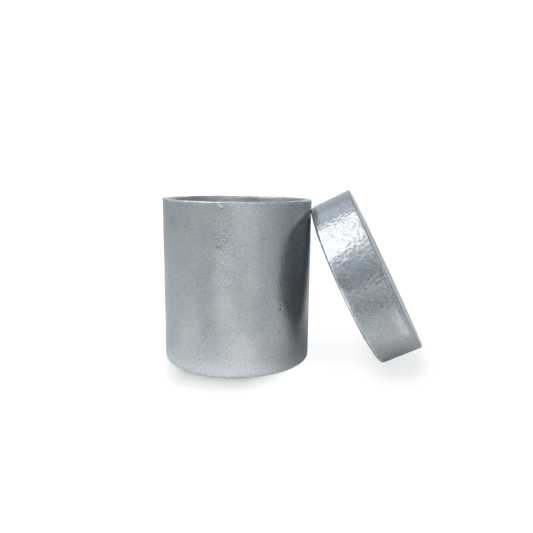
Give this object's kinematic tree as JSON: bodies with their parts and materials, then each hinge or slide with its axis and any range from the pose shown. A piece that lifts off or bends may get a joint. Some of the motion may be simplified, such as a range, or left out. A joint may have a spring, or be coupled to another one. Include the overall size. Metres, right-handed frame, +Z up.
{
  "type": "candle tin with slip lid",
  "caption": "Thick-walled round metal candle vessel, open at the top, with its slip-over cap lid leaning against the wall beside it.",
  "frame": {"origin": "centre of the vessel's underside, on the floor plane", "axes": "+Z up along the vessel's axis; the lid stands on the +X side with its own axis parallel to the XZ plane, 8.4 mm to the +Y side of it; Y runs across both"},
  "size_m": [0.1416, 0.0948, 0.0919],
  "materials": {
    "vessel_silver": "satin",
    "lid_silver": "satin"
  },
  "bodies": {
    "vessel": {"vessel_wall": "vessel_silver", "vessel_base": "vessel_silver"},
    "lid": {"lid_skirt": "lid_silver", "lid_top": "lid_silver"}
  },
  "joints": [
    {"name": "lid_tip", "type": "hinge", "parent": "vessel", "child": "lid", "pos_m": [0.08259, 0.0084, 0.0016], "axis": [0, 1, 0], "range_deg": [0, 27.3]}
  ]
}
